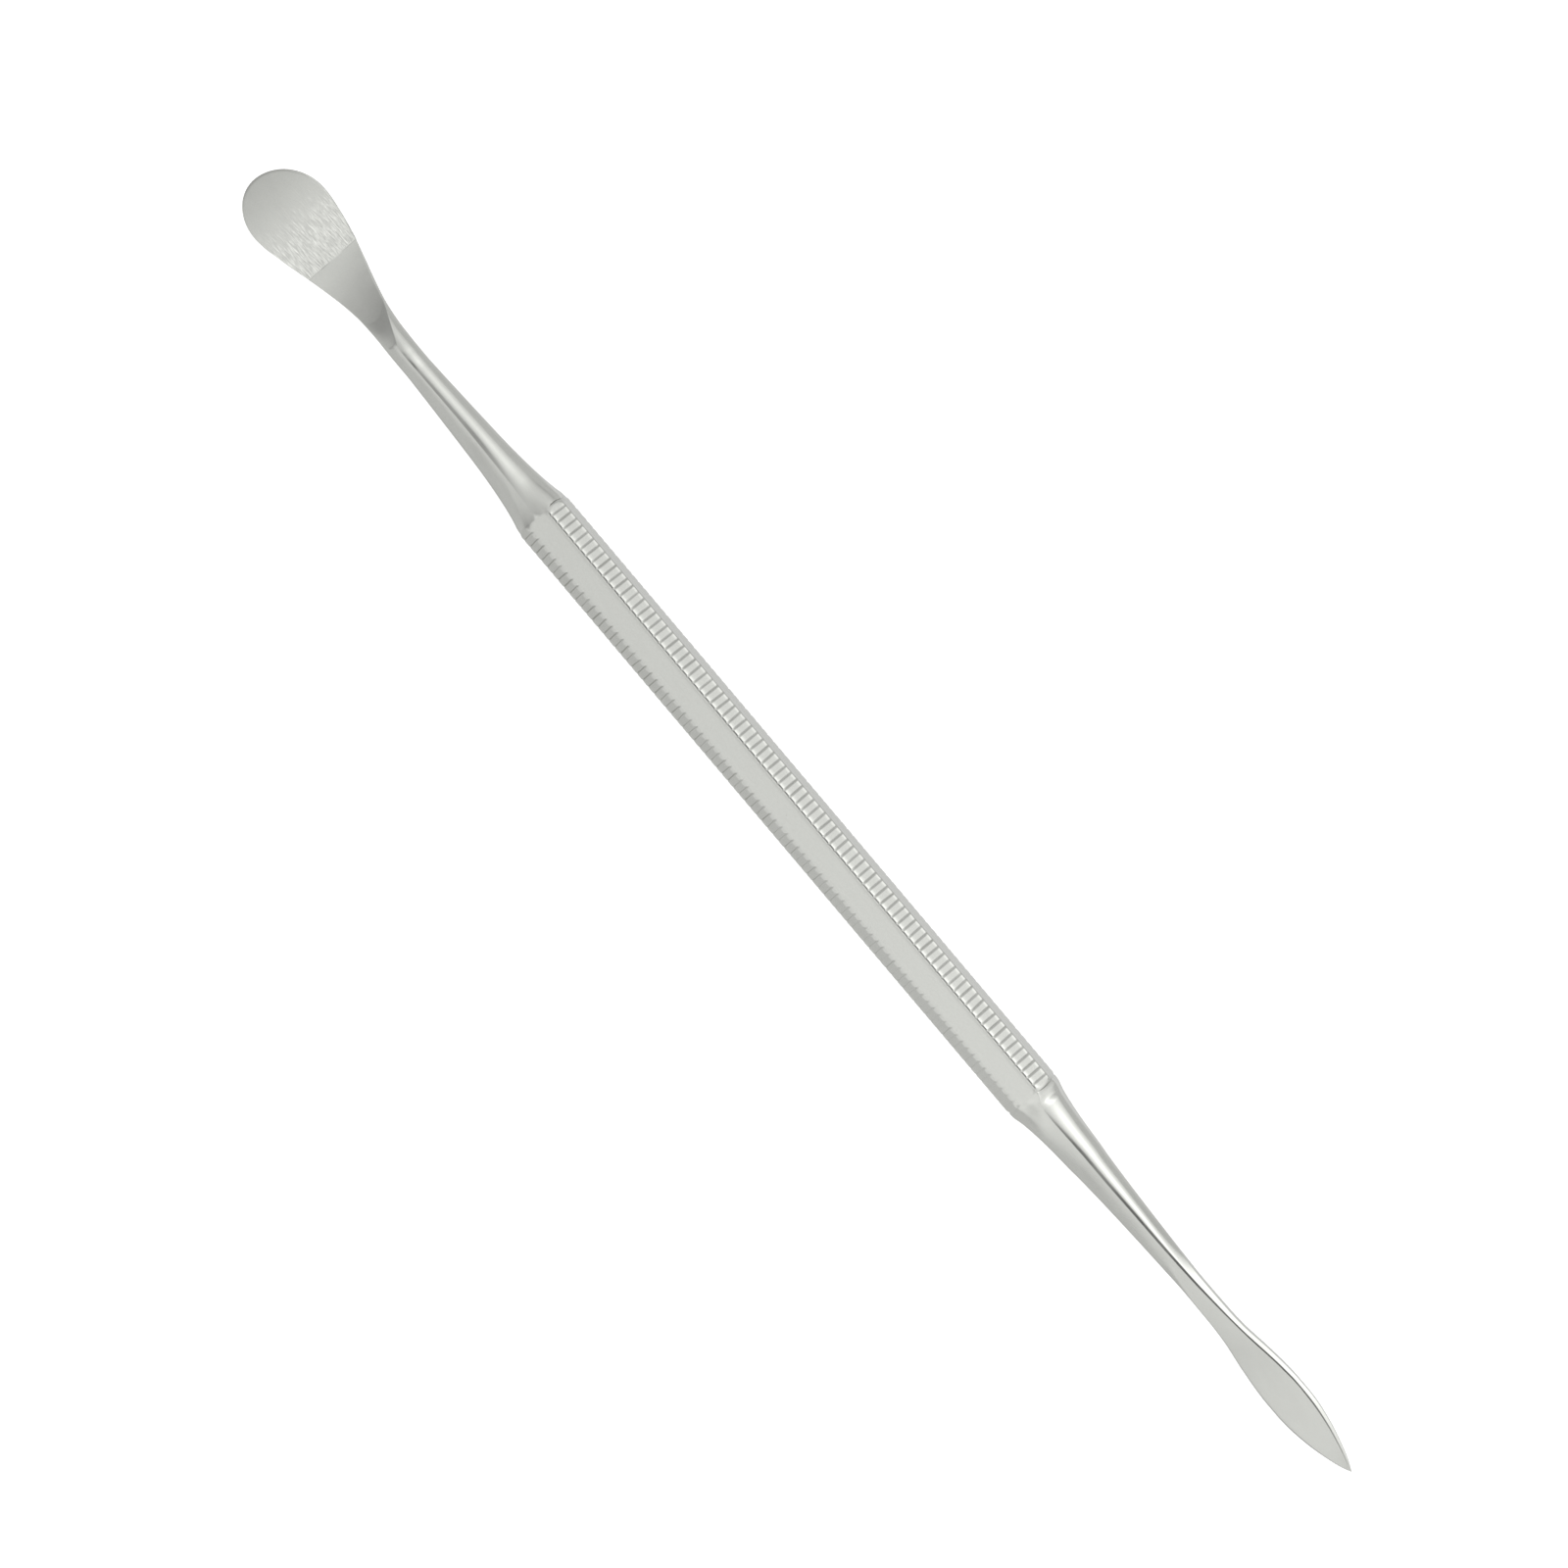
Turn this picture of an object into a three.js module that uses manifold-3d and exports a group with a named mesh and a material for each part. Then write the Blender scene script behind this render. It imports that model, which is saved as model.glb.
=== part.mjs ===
// Double-ended cuticle pusher in stainless steel. A ribbed octagonal handle carries a spoon
// pusher at one end and a lancet scraper at the other. Each working end has a round tang,
// pressed into a drilled socket in the handle until its shoulder meets the handle's end face.
//
// Millimetres. X runs along the tool from the spoon to the lancet, +Z is the side that the
// spoon's hollow looks to, and the origin is the centre of the handle's lower flat. Places
// along a working end are distances from the seam between it and the handle.

import * as THREE from "three";
import { mergeVertices } from "three/addons/utils/BufferGeometryUtils.js";
import Module from "manifold-3d";

const wasm = await Module();
wasm.setup();

const { degToRad: degrees, lerp, clamp, smoothstep } = THREE.MathUtils;

// ---- Driving dimensions ----

const ACROSS_FLATS = 4.8; // octagonal bar, flat to flat
const HANDLE_LENGTH = 65;
const SPOON_END_LENGTH = 37.8; // seam to tip
const LANCET_END_LENGTH = 42.2; // seam to tip

const RIB_COUNT = 87; // cross ribs along each of the four ribbed facets
const GROOVE_WIDTH = 0.22; // between two ribs
const GROOVE_DEPTH = 0.12;

const TANG_RADIUS = 1.2;
const TANG_LENGTH = 9;
const TANG_CHAMFER = 0.3;
const TANG_ROOT = 1; // how far the tang runs on inside the shank
const SOCKET_CLEARANCE = 0.05; // round the tang
const SOCKET_EXTRA_DEPTH = 0.5; // past the tang's end
const DRILL_POINT = degrees(59); // half the point angle
const SEAM_GAP = 0.02; // between a shoulder and the handle's end face

// A shank narrows from its shoulder in three ways at once: an even taper over its length, a
// swell that dies out near the seam, and a flare that reaches the octagon's corners.
const SPOON_SHANK = { slim: 1.17, taper: 0.6, length: 20, swell: 0.63 };
const LANCET_SHANK = { slim: 1.04, taper: 1.1, length: 22, swell: 0.3 };
const TAPER_POWER = 1.25;
const SWELL_REACH = 3;
const FLARE = 0.24;
const FLARE_REACH = 0.4;

// Two opposite quarters of a shank are ground flat and two are left round. The flats are
// bounded by an edge on the left and a crease near the top, at these angles from +Z.
const FACET_FADE_IN = [0, 3.5];
const SPOON_FACET = { left: degrees(-87), crease: degrees(3) };
const LANCET_FACET_AT_SEAM = { left: degrees(-85), crease: degrees(5) };
const LANCET_FACET_AT_LEAF = { left: degrees(-70), crease: degrees(50) };
const LANCET_FACET_ROLL = [18, 33.7]; // where the flat turns up to become the leaf's face

// The spoon: an elliptic paddle, ground hollow by two passes of a wheel that meet in a groove.
const PADDLE_HALF_WIDTH = 3.76;
const PADDLE_NOSE = 4.13; // from the widest place to the tip
const PADDLE_TAPER = 13.15; // from the widest place back to the neck
const NOSE_LAST_TURN = degrees(5.7); // the tip ends in a small flat, at this turn of the nose
const PASSES_MEET = { fromSeam: 28.3, height: -1.6 }; // height from the tool's axis
const NECK_PASS = { radius: 26, slope: degrees(4), reach: degrees(40) };
const PADDLE_PASS = { radius: 24, slope: degrees(-6), reach: degrees(-34) };
const RIM_DROP = 0.08; // the paddle is widest this far under its ground face
const PADDLE_CROWN = 0.6; // stock above the widest level, before grinding
const PADDLE_DEPTH = { atGroove: 0.5, atTip: 0.16 }; // from the widest level to the back
const SPOON_BEND = [18.5, 23.5]; // where the shank leaves the axis to follow the hollow
const SPOON_THINNING = [19.5, 27.5];
const SPOON_FACET_FADE_OUT = [20.5, 25.5];

// The lancet: a pointed leaf, flatter than the shank and ground across its front and back.
const LEAF_HALF_WIDTH = 1.92;
const LEAF_WIDENING = [22.5, 33.6];
const LEAF_FLATTEN_START = 20;
const LEAF_FLATTEN_POWER = 2.2;
const POINT = { halfWidth: 0.08, halfHeight: 0.12 };

const AXIS_HEIGHT = ACROSS_FLATS / 2;
const HANDLE_HALF = HANDLE_LENGTH / 2;
const PADDLE_WIDEST = SPOON_END_LENGTH - PADDLE_NOSE;
const OCTAGON_CORNER = Math.PI / 8; // from a flat's middle to its corner

const QUARTER_STEPS = 7; // points along each quarter of a shank's section
const TURNED_STEPS = 24; // sides of a round hole or pin
const NOSE_STEPS = 9;
const CUT_OVERRUN = 1; // how far a cutting shape runs past what it cuts

// ---- Closed meshes and booleans ----

// A closed skin through one section per station, with its ends capped. Stations run towards
// +X, and a section is a list of [y, z] points going round from +Z towards +Y.
function loft(stations, section) {
  const sections = stations.map(section);
  const around = sections[0].length;
  const rows = stations.length - 1;
  const geometry = new THREE.CylinderGeometry(1, 1, 1, around, rows);
  const at = geometry.attributes.position;
  for (let i = 0; i < at.count; i++) {
    const row = Math.round((0.5 - at.getY(i)) * rows);
    const turn = Math.atan2(at.getX(i), at.getZ(i)) / (2 * Math.PI);
    const column = (Math.round(turn * around) + around) % around;
    const onSkin = Math.hypot(at.getX(i), at.getZ(i)) > 0.5;
    const [y, z] = onSkin ? sections[row][column] : middle(sections[row]);
    at.setXYZ(i, stations[row], y, z);
  }
  return geometry;
}

function middle(points) {
  const sum = points.reduce((a, b) => [a[0] + b[0], a[1] + b[1]]);
  return sum.map((v) => v / points.length);
}

// A solid of revolution about the X axis, from [x, radius] pairs that start and end on it.
function turned(profile) {
  const points = profile.map(([x, radius]) => new THREE.Vector2(radius, x));
  const geometry = new THREE.LatheGeometry(points, TURNED_STEPS);
  return toSolid(geometry.rotateZ(-Math.PI / 2));
}

function toSolid(geometry) {
  const bare = geometry.clone();
  bare.deleteAttribute("normal");
  bare.deleteAttribute("uv");
  const merged = mergeVertices(bare);
  return new wasm.Manifold(
    new wasm.Mesh({
      numProp: 3,
      vertProperties: merged.attributes.position.array,
      triVerts: new Uint32Array(merged.index.array),
    }),
  );
}

function toGeometry(solid) {
  const { vertProperties, triVerts } = solid.getMesh();
  const geometry = new THREE.BufferGeometry();
  geometry.setAttribute("position", new THREE.BufferAttribute(vertProperties, 3));
  geometry.setIndex(new THREE.BufferAttribute(triVerts, 1));
  geometry.computeVertexNormals();
  return geometry;
}

function evenly(from, to, count) {
  return Array.from({ length: count + 1 }, (_, i) => lerp(from, to, i / count));
}

// ---- Handle ----

// The octagon's corners, with the four ribbed facets sunk by a depth.
function octagon(sunk) {
  const far = AXIS_HEIGHT;
  const near = far * Math.tan(OCTAGON_CORNER) - sunk * Math.SQRT2;
  return [
    [near, far],
    [far, near],
    [far, -near],
    [near, -far],
    [-near, -far],
    [-far, -near],
    [-far, near],
    [-near, far],
  ];
}

function handleSolid() {
  const pitch = HANDLE_LENGTH / RIB_COUNT;
  const stations = [-HANDLE_HALF];
  const grooves = new Set();
  for (let k = 1; k < RIB_COUNT; k++) {
    const x = -HANDLE_HALF + k * pitch;
    stations.push(x - GROOVE_WIDTH / 2, x, x + GROOVE_WIDTH / 2);
    grooves.add(x);
  }
  stations.push(HANDLE_HALF);
  const bar = toSolid(loft(stations, (x) => octagon(grooves.has(x) ? GROOVE_DEPTH : 0)));
  return bar.subtract(socket(1)).subtract(socket(-1));
}

// A drilled blind hole in the handle's end, on one side of the middle.
function socket(side) {
  const radius = TANG_RADIUS + SOCKET_CLEARANCE;
  const floor = HANDLE_HALF - TANG_LENGTH - SOCKET_EXTRA_DEPTH;
  const mouth = HANDLE_HALF + CUT_OVERRUN;
  const hole = turned([
    [floor - radius / Math.tan(DRILL_POINT), 0],
    [floor, radius],
    [mouth, radius],
    [mouth, 0],
  ]);
  return onSide(hole, side);
}

function onSide(solid, side) {
  return side > 0 ? solid : solid.rotate([0, 0, 180]);
}

// ---- What both working ends share ----

function shankRadius(shank, fromSeam) {
  const taper = shank.taper * Math.max(0, 1 - fromSeam / shank.length) ** TAPER_POWER;
  const swell = shank.swell * Math.exp(-fromSeam / SWELL_REACH);
  const flare = FLARE * Math.exp(-fromSeam / FLARE_REACH);
  return shank.slim + taper + swell + flare;
}

// A section with two flat quarters and two round ones. It is an ellipse of a half-width, and
// of a half-height that may differ above and below its centre line. The flats run between the
// angles left and crease, and again half a turn on. They are fully flat at a flatness of 1.
function facetedSection({ halfWidth, above, below, centre, left, crease, flatness }) {
  const onRound = (angle) => {
    const height = Math.cos(angle) > 0 ? above : below;
    return [halfWidth * Math.sin(angle), centre + height * Math.cos(angle)];
  };
  const quarter = (from, to, flat) =>
    evenly(0, 1, QUARTER_STEPS)
      .slice(0, -1)
      .map((t) => {
        const round = onRound(lerp(from, to, t));
        const chord = mix(onRound(from), onRound(to), t);
        return mix(round, chord, flat);
      });
  const right = left + Math.PI;
  const underCrease = crease + Math.PI;
  return [
    ...quarter(left, crease, flatness),
    ...quarter(crease, right, 0),
    ...quarter(right, underCrease, flatness),
    ...quarter(underCrease, left + 2 * Math.PI, 0),
  ];
}

function mix([y0, z0], [y1, z1], t) {
  return [lerp(y0, y1, t), lerp(z0, z1, t)];
}

// A length of the octagonal bar that a shoulder is left from.
function bar(from, to) {
  return toSolid(loft([from, to], () => octagon(0)));
}

function tang(side) {
  const end = HANDLE_HALF - TANG_LENGTH;
  const root = HANDLE_HALF + SEAM_GAP + TANG_ROOT;
  const pin = turned([
    [end, 0],
    [end, TANG_RADIUS - TANG_CHAMFER],
    [end + TANG_CHAMFER, TANG_RADIUS],
    [root, TANG_RADIUS],
    [root, 0],
  ]);
  return onSide(pin, side);
}

// ---- Spoon end ----

const spoonX = (fromSeam) => -HANDLE_HALF - fromSeam;

// The centre of a wheel pass, which leaves the groove at the pass's slope.
function wheelCentre({ radius, slope }) {
  return new THREE.Vector2(
    spoonX(PASSES_MEET.fromSeam) - radius * Math.sin(slope),
    PASSES_MEET.height + radius * Math.cos(slope),
  );
}

function groundHeight(fromSeam) {
  const pass = fromSeam < PASSES_MEET.fromSeam ? NECK_PASS : PADDLE_PASS;
  const wheel = wheelCentre(pass);
  return wheel.y - Math.sqrt(pass.radius ** 2 - (spoonX(fromSeam) - wheel.x) ** 2);
}

// What the wheel takes off: everything above the two arcs.
function wheelCut() {
  const down = -Math.PI / 2;
  const shape = new THREE.Shape();
  const addPass = (pass, from, to) => {
    const wheel = wheelCentre(pass);
    shape.absarc(wheel.x, wheel.y, pass.radius, down + from, down + to, false);
  };
  addPass(PADDLE_PASS, PADDLE_PASS.reach, PADDLE_PASS.slope);
  addPass(NECK_PASS, NECK_PASS.slope, NECK_PASS.reach);
  shape.lineTo(spoonX(0), ACROSS_FLATS);
  shape.lineTo(spoonX(SPOON_END_LENGTH + CUT_OVERRUN), ACROSS_FLATS);
  const depth = 2 * (PADDLE_HALF_WIDTH + CUT_OVERRUN);
  const geometry = new THREE.ExtrudeGeometry(shape, { depth, bevelEnabled: false });
  return toSolid(geometry.rotateX(Math.PI / 2).translate(0, depth / 2, 0));
}

function spoonHalfWidth(fromSeam) {
  const past = fromSeam - PADDLE_WIDEST;
  if (past > 0) {
    return PADDLE_HALF_WIDTH * Math.sqrt(1 - (past / PADDLE_NOSE) ** 2);
  }
  const narrowing = smoothstep(-past, 0, PADDLE_TAPER);
  return lerp(PADDLE_HALF_WIDTH, shankRadius(SPOON_SHANK, fromSeam), narrowing);
}

// The height of the section's widest level: the tool's axis along the shank, and just under
// the ground face along the paddle.
function spoonCentre(fromSeam) {
  const bend = smoothstep(fromSeam, ...SPOON_BEND);
  return bend > 0 ? bend * (groundHeight(fromSeam) - RIM_DROP) : 0;
}

function spoonSection(fromSeam) {
  const radius = shankRadius(SPOON_SHANK, fromSeam);
  const thinning = smoothstep(fromSeam, ...SPOON_THINNING);
  const pastGroove = fromSeam - PASSES_MEET.fromSeam;
  const towardsTip = clamp(pastGroove / (SPOON_END_LENGTH - PASSES_MEET.fromSeam), 0, 1);
  const depth = lerp(PADDLE_DEPTH.atGroove, PADDLE_DEPTH.atTip, towardsTip);
  const fadeOut = smoothstep(fromSeam, ...SPOON_FACET_FADE_OUT);
  return facetedSection({
    ...SPOON_FACET,
    halfWidth: spoonHalfWidth(fromSeam),
    above: lerp(radius, PADDLE_CROWN, thinning),
    below: lerp(radius, depth, thinning),
    centre: spoonCentre(fromSeam),
    flatness: smoothstep(fromSeam, ...FACET_FADE_IN) * (1 - fadeOut),
  });
}

function spoonEndSolid() {
  const nose = evenly(NOSE_LAST_TURN, Math.PI / 2, NOSE_STEPS)
    .map((turn) => PADDLE_WIDEST + PADDLE_NOSE * Math.cos(turn));
  const stations = [
    ...nose,
    ...evenly(PADDLE_WIDEST, SPOON_BEND[0], 16).slice(1),
    ...evenly(SPOON_BEND[0], 4, 8).slice(1),
    ...evenly(4, 1, 5).slice(1),
    ...evenly(1, SEAM_GAP, 4).slice(1),
  ];
  const section = (x) => spoonSection(-HANDLE_HALF - x);
  const blank = toSolid(loft(stations.map(spoonX), section));
  const beside = new THREE.BoxGeometry(
    SPOON_END_LENGTH, 3 * ACROSS_FLATS, 3 * ACROSS_FLATS);
  beside.translate(spoonX(SPOON_BEND[0] + SPOON_END_LENGTH / 2), 0, 0);
  const stock = bar(spoonX(SPOON_END_LENGTH), spoonX(SEAM_GAP)).add(toSolid(beside));
  return blank.subtract(wheelCut()).intersect(stock).add(tang(-1));
}

// ---- Lancet end ----

const lancetX = (fromSeam) => HANDLE_HALF + fromSeam;

// The leaf widens from the shank, then closes to the point along an arc.
function lancetHalfWidth(fromSeam) {
  const widest = LEAF_WIDENING[1];
  if (fromSeam < widest) {
    const widening = smoothstep(fromSeam, ...LEAF_WIDENING);
    return lerp(shankRadius(LANCET_SHANK, fromSeam), LEAF_HALF_WIDTH, widening);
  }
  const run = LANCET_END_LENGTH - widest;
  const closing = LEAF_HALF_WIDTH - POINT.halfWidth;
  const radius = (run ** 2 + closing ** 2) / (2 * closing);
  return LEAF_HALF_WIDTH - radius + Math.sqrt(radius ** 2 - (fromSeam - widest) ** 2);
}

function lancetSection(fromSeam) {
  const run = LANCET_END_LENGTH - LEAF_FLATTEN_START;
  const along = Math.max(0, fromSeam - LEAF_FLATTEN_START) / run;
  const radius = shankRadius(LANCET_SHANK, fromSeam);
  const halfHeight = lerp(radius, POINT.halfHeight, along ** LEAF_FLATTEN_POWER);
  const roll = smoothstep(fromSeam, ...LANCET_FACET_ROLL);
  return facetedSection({
    halfWidth: lancetHalfWidth(fromSeam),
    above: halfHeight,
    below: halfHeight,
    centre: 0,
    left: lerp(LANCET_FACET_AT_SEAM.left, LANCET_FACET_AT_LEAF.left, roll),
    crease: lerp(LANCET_FACET_AT_SEAM.crease, LANCET_FACET_AT_LEAF.crease, roll),
    flatness: smoothstep(fromSeam, ...FACET_FADE_IN),
  });
}

function lancetEndSolid() {
  const stations = [
    ...evenly(SEAM_GAP, 1, 4),
    ...evenly(1, 4, 5).slice(1),
    ...evenly(4, LEAF_FLATTEN_START, 8).slice(1),
    ...evenly(LEAF_FLATTEN_START, LANCET_END_LENGTH, 22).slice(1),
  ];
  const section = (x) => lancetSection(x - HANDLE_HALF);
  const blank = toSolid(loft(stations.map(lancetX), section));
  const stock = bar(lancetX(SEAM_GAP), lancetX(LANCET_END_LENGTH));
  return blank.intersect(stock).add(tang(1));
}

// ---- The tool ----

function steel(color, roughness) {
  return new THREE.MeshStandardMaterial({ color, roughness, metalness: 1 });
}

function piece(name, solid, material) {
  const mesh = new THREE.Mesh(toGeometry(solid), material);
  mesh.name = name;
  return mesh;
}

const tool = new THREE.Group();
tool.position.z = AXIS_HEIGHT; // the lower flat lies on z = 0
tool.add(
  piece("ribbed_handle", handleSolid(), steel(0xcccdc8, 0.38)),
  piece("spoon_pusher", spoonEndSolid(), steel(0xc4c5c0, 0.32)),
  piece("lancet_scraper", lancetEndSolid(), steel(0xcacbc6, 0.3)),
);

export default tool;
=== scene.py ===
# Looks for the double-ended cuticle pusher: a ribbed octagonal handle, a spoon pusher and a
# lancet scraper in satin steel, on a white floor. The CAD solids set the size and the places,
# and each one is replaced by a finer mesh of the same shape.
#
# Shapes are worked out in millimetres, with y and z counted from the tool's axis, and are
# written to the meshes in metres.

import math

import bpy
import numpy as np
from mathutils import Matrix, Vector


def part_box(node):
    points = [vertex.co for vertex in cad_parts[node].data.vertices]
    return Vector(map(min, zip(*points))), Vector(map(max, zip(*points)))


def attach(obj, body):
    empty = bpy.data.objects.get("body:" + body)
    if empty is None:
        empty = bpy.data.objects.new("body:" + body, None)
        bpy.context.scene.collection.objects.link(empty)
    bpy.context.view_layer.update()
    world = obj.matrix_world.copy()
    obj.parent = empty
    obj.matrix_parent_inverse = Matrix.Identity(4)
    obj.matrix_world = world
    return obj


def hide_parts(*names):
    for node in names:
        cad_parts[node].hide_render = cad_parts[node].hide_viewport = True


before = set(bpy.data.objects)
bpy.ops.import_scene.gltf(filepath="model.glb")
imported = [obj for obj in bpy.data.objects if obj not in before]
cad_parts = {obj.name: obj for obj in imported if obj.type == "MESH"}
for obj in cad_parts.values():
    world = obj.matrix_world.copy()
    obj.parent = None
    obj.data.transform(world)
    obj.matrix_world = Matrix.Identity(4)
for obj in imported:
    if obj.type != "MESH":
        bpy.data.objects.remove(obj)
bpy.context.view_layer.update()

MM = 0.001
SEED = 7
rng = np.random.default_rng(SEED)

# ---- Sizes, from the CAD and in millimetres ----

handle_low, handle_high = (np.array(v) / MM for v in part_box("ribbed_handle"))
spoon_low = np.array(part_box("spoon_pusher")[0]) / MM
lancet_high = np.array(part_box("lancet_scraper")[1]) / MM

HAIR = 0.00002  # keeps rounding errors inside the CAD's box
APOTHEM = (handle_high[2] - handle_low[2]) / 2 - HAIR
AXIS_HEIGHT = (handle_high[2] + handle_low[2]) / 2
SEAM = handle_high[0]
SPOON_TIP = spoon_low[0] + 0.18  # shorter, because the raised tip is nearer the camera
LANCET_TIP = lancet_high[0] - HAIR
CORNER = APOTHEM * math.tan(math.pi / 8)  # half the width of one flat of the octagon
FACET = 2 * CORNER

RIBS = 87
PITCH = 2 * SEAM / RIBS
GROOVE_REACH = 0.14  # from a groove's middle to where the rib is at its full height
SEAM_GAP = 0.004  # keeps the meshes of two pieces apart
SHOULDER_REACH = 1.5  # how far a shoulder rounds off the handle's end
FIT_REACH = 3  # how far a working end is trimmed to the handle's section
FIT_ROUNDING = 0.05  # rounds off where their surfaces cross


def smoothstep(x, low, high):
    t = np.clip((x - low) / (high - low), 0, 1)
    return t * t * (3 - 2 * t)


def lerp(a, b, t):
    return a + (b - a) * t


def soft_min(a, b, width):
    """The smaller of a and b, rounded off over a width where they cross."""
    h = np.clip(0.5 + 0.5 * (b - a) / width, 0, 1)
    return lerp(b, a, h) - width * h * (1 - h)


def curve(points):
    """A smooth curve through (x, value) points that doesn't overshoot between them."""
    xs, ys = (np.array(v, float) for v in zip(*sorted(points)))
    dx = np.diff(xs)
    slope = np.diff(ys) / dx
    tangent = np.zeros_like(ys)
    same_way = slope[1:] * slope[:-1] > 0
    with np.errstate(divide="ignore", invalid="ignore"):
        weight_a = 2 * dx[1:] + dx[:-1]
        weight_b = dx[1:] + 2 * dx[:-1]
        mean = (weight_a + weight_b) / (weight_a / slope[:-1] + weight_b / slope[1:])
    tangent[1:-1] = np.where(same_way, mean, 0)
    tangent[0], tangent[-1] = slope[0], slope[-1]

    def at(x):
        x = np.clip(x, xs[0], xs[-1])
        i = np.clip(np.searchsorted(xs, x) - 1, 0, len(dx) - 1)
        t = (x - xs[i]) / dx[i]
        return (
            (1 + 2 * t) * (1 - t) ** 2 * ys[i]
            + t * (1 - t) ** 2 * dx[i] * tangent[i]
            + t * t * (3 - 2 * t) * ys[i + 1]
            - t * t * (1 - t) * dx[i] * tangent[i + 1]
        )

    return at


# ---- Meshes ----

SHARP_ANGLE = math.radians(38)


def skin(name, x, y, z):
    """A closed mesh from a grid of points: one row per station, one column round the section.

    x, y and z are in millimetres and all have the grid's shape. Rows run towards +X, and
    columns go round from +Z towards +Y. Each end is closed by a fan round its middle, and all
    faces look outwards.
    """
    rows, around = y.shape
    points = np.stack([x, y, z + AXIS_HEIGHT], axis=-1) * MM
    verts = points.reshape(-1, 3)
    ends = np.array([points[0].mean(axis=0), points[-1].mean(axis=0)])
    verts = np.vstack([verts, ends])
    i, j = np.meshgrid(np.arange(rows - 1), np.arange(around), indexing="ij")
    k = (j + 1) % around
    quads = np.stack(
        [i * around + j, (i + 1) * around + j, (i + 1) * around + k, i * around + k],
        axis=-1,
    ).reshape(-1, 4)
    j = np.arange(around)
    k = (j + 1) % around
    low_mid = rows * around
    last = (rows - 1) * around
    fan_low = np.stack([j, k, np.full(around, low_mid)], axis=-1)
    fan_high = np.stack([last + k, last + j, np.full(around, low_mid + 1)], axis=-1)
    mesh = bpy.data.meshes.new(name)
    faces = quads.tolist() + fan_low.tolist() + fan_high.tolist()
    mesh.from_pydata(verts.tolist(), [], faces)
    mesh.validate()
    mesh.polygons.foreach_set("use_smooth", np.ones(len(mesh.polygons), bool))
    mesh.set_sharp_from_angle(angle=SHARP_ANGLE)
    piece = bpy.data.objects.new(name, mesh)
    bpy.context.scene.collection.objects.link(piece)
    return piece


def clustered(count):
    """count + 1 values from 0 to 1, closer together at both ends."""
    t = np.arange(count + 1) / count
    return lerp(t, 0.5 - 0.5 * np.cos(np.pi * t), 0.75)


# ---- The ribs ----

# Where the mesh has points: across a ribbed facet and half a plain flat, as shares of their
# width, and along the tool from each groove's middle, in millimetres.
FACET_STEPS = np.array(
    [0, 0.06, 0.07, 0.08, 0.092, 0.12, 0.16, 0.22, 0.3, 0.55, 0.77, 0.82, 0.86, 0.885, 0.9, 0.93,
     0.965, 1.0])
FLAT_STEPS = np.array([0, 0.6, 0.93, 0.97, 1.0])
GROOVE_STEPS = np.array([0.025, 0.06, 0.1, GROOVE_REACH, 0.18])

# How steeply a rib's top leaves the octagon's facet, by distance from the plain flat. It
# rises from a foot beside that flat, runs along the facet and rolls over at the side flat.
RIB_SLOPES = [
    (0, 0.7), (0.13, 0.68), (0.155, 0.4), (0.18, 0.2), (0.28, 0.17), (0.38, 0.06), (0.55, 0),
    (1.5, 0), (1.6, 0.11), (1.72, 0.13), (1.76, 0), (1.79, -0.38), (FACET, -0.42)]


def rib_profile():
    """Distances across a facet, and the rib's height above it at each."""
    at, slope = (np.array(v) for v in zip(*RIB_SLOPES))
    d = np.linspace(0, FACET, 800)
    steps = np.interp(d, at, slope)
    return d, np.concatenate([[0], np.cumsum((steps[1:] + steps[:-1]) / 2 * np.diff(d))])


RIB_PROFILE = rib_profile()
GROOVE_FLOOR = 0.012  # a groove's floor under the octagon's facet
CORNER_INSET = 0.006  # keeps a ribbed facet's last point just inside the side flat
FLAT_DROP = 0.01  # how far a plain flat falls at its edges

# How uneven the grooves are. Depth is relative, and place and slant are in millimetres along
# the tool. A groove is cut through a share of the rib's height.
DEPTH_RANGE = (0.75, 1.2)
PLACE_SPREAD = 0.012
SLANT_MEAN = 0.01
SLANT_SPREAD = 0.018
CUT_SPREAD = 0.05
FADE_FROM = -20  # grooves that fade do so from here to the lancet end's seam


def pad_profile(d):
    """The height of a rib above the octagon's facet, a distance d from the plain flat."""
    return np.interp(d, *RIB_PROFILE)


def groove_profile(d):
    """The depth of a groove under the octagon's facet, a distance d from the plain flat."""
    return GROOVE_FLOOR * smoothstep(d, 0.1, 0.8)


def rib_factor(distance):
    """0 at a groove's middle and 1 on the rib beside it."""
    t = np.clip(distance / GROOVE_REACH, 0, 1)
    return 1 - (1 - t) ** 1.4


def facet_points(rib, depth):
    """The [y, z] points of a ribbed facet, from its corner on the upper flat to its corner
    on the side flat, for an array of rib factors and one of relative groove depths."""
    rib = rib[:, None]
    top = pad_profile(FACET)
    floor = groove_profile(FACET) * depth[:, None]
    end = lerp(-floor, top, rib)
    d = FACET_STEPS[None, :] * (FACET - end)
    groove = groove_profile(d) * depth[:, None]
    height = lerp(-groove, pad_profile(d), rib)
    y = CORNER + (d + height) * math.sqrt(0.5)
    z = APOTHEM + (height - d) * math.sqrt(0.5)
    y[:, -1] -= CORNER_INSET
    return np.minimum(y, APOTHEM), z


# Where the working ends' round surfaces run into the handle, by distance from the seam.
shoulder_radius = curve(
    [(-1.6, 3.3), (-0.45, 2.72), (-0.22, 2.61), (0, 2.53), (0.3, 2.43), (0.7, 2.31), (2, 2.105)])

BOW_REACH = 0.4
BOW_MIDDLE = 0.04  # outwards at a facet's middle
BOW_SPAN = 0.13  # and this much less at its edges


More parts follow.
